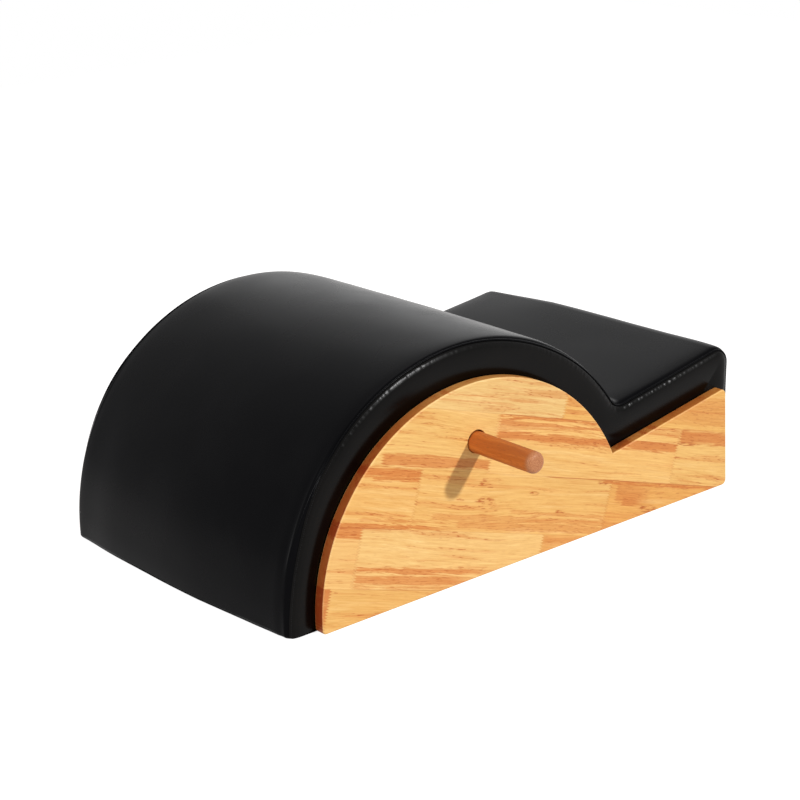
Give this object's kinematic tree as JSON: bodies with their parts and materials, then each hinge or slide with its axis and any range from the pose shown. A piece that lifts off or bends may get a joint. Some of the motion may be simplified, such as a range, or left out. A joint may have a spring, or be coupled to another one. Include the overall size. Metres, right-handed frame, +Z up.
{
  "type": "spine corrector",
  "caption": "Padded half barrel that runs down into a low ramp, between solid wood side panels, with a pull-out wooden hand grip on each side.",
  "frame": {"origin": "on the floor, under the middle of the whole object's box", "axes": "+X from the barrel towards the step, +Y across the width towards the right-hand panel, +Z up"},
  "size_m": [0.8798, 0.8386, 0.3456],
  "materials": {
    "panel_wood": "satin",
    "grip_wood": "satin",
    "plywood": "matte",
    "softwood": "matte",
    "foam": "matte",
    "leather": "satin",
    "rubber": "matte",
    "screw_steel": "satin"
  },
  "bodies": {
    "base": {"side_panel_left": "panel_wood", "side_panel_right": "panel_wood", "core_former_left": "plywood", "core_former_right": "plywood", "centre_rib": "plywood", "barrel_deck_outer": "plywood", "barrel_deck_inner": "plywood", "step_deck": "plywood", "end_board": "plywood", "base_board": "plywood", "foot_rail": "softwood", "ridge_rail": "softwood", "valley_rail": "softwood", "step_rail": "softwood", "heel_rail": "softwood", "barrel_foam": "foam", "step_foam": "foam", "end_foam": "foam", "cover_top": "leather", "gusset_left": "leather", "gusset_right": "leather", "grip_socket_left": "softwood", "grip_socket_right": "softwood", "panel_screw_left_1": "screw_steel", "panel_screw_left_2": "screw_steel", "panel_screw_left_3": "screw_steel", "panel_screw_left_4": "screw_steel", "panel_screw_left_5": "screw_steel", "panel_screw_right_1": "screw_steel", "panel_screw_right_2": "screw_steel", "panel_screw_right_3": "screw_steel", "panel_screw_right_4": "screw_steel", "panel_screw_right_5": "screw_steel", "foot_barrel_left": "rubber", "foot_barrel_right": "rubber", "foot_step_left": "rubber", "foot_step_right": "rubber"},
    "grip_left": {"hand_grip_left": "grip_wood"},
    "grip_right": {"hand_grip_right": "grip_wood"}
  },
  "joints": [
    {"name": "grip_left_pull", "type": "slide", "parent": "base", "child": "grip_left", "axis": [0, -1, 0], "range_m": [0, 0.1]},
    {"name": "grip_right_pull", "type": "slide", "parent": "base", "child": "grip_right", "axis": [0, 1, 0], "range_m": [0, 0.1]}
  ]
}
